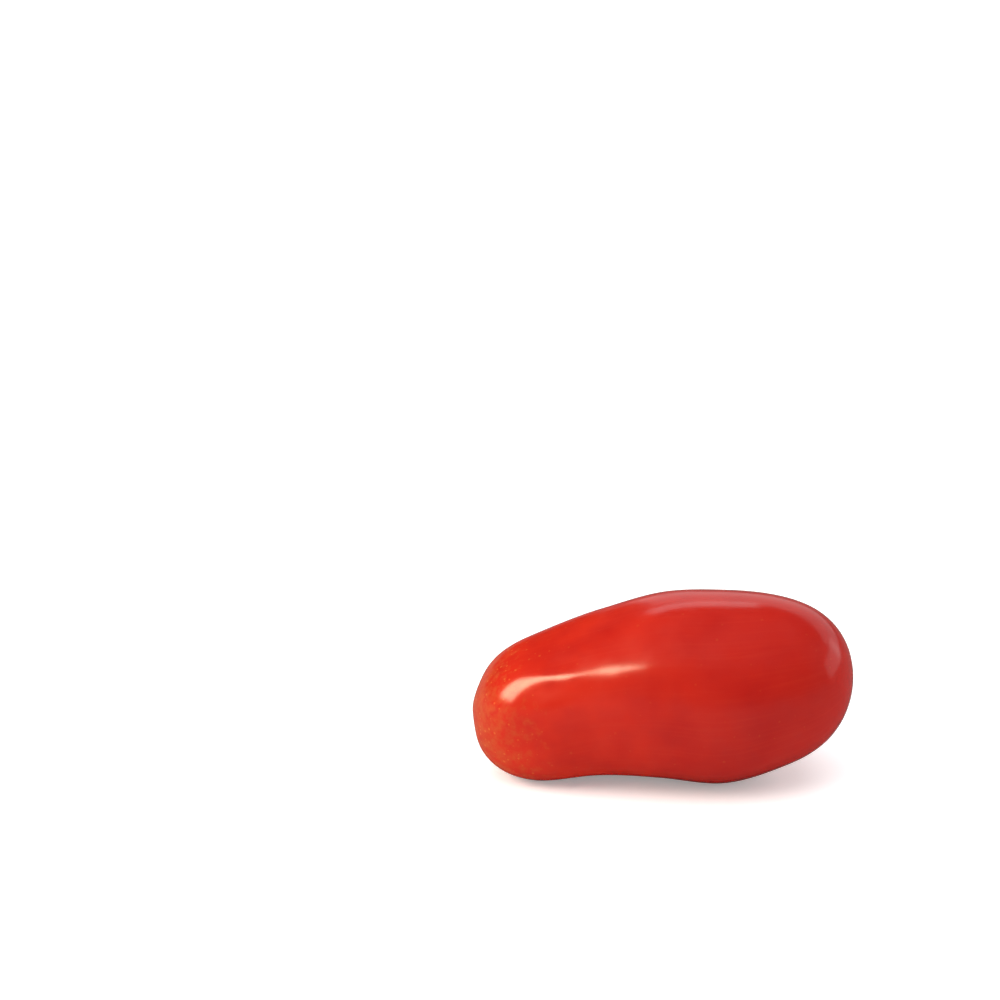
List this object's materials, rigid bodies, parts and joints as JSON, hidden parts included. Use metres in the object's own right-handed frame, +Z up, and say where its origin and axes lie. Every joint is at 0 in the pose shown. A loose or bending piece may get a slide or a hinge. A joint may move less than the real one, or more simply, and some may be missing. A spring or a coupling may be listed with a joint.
{
  "type": "tomato",
  "caption": "Whole plum tomato lying on its side: slim neck at the stem end with a dry stem scar, full rounded belly, small flats to rest on.",
  "frame": {"origin": "on the surface that the fruit rests on, under the middle of its bounding box", "axes": "+X from the stem end to the blossom end, +Z up; the fruit lies on its side, with its underside at z = 0"},
  "size_m": [0.0778, 0.0396, 0.0395],
  "materials": {
    "skin": "gloss"
  },
  "bodies": {
    "root": {"tomato": "skin"}
  },
  "joints": []
}
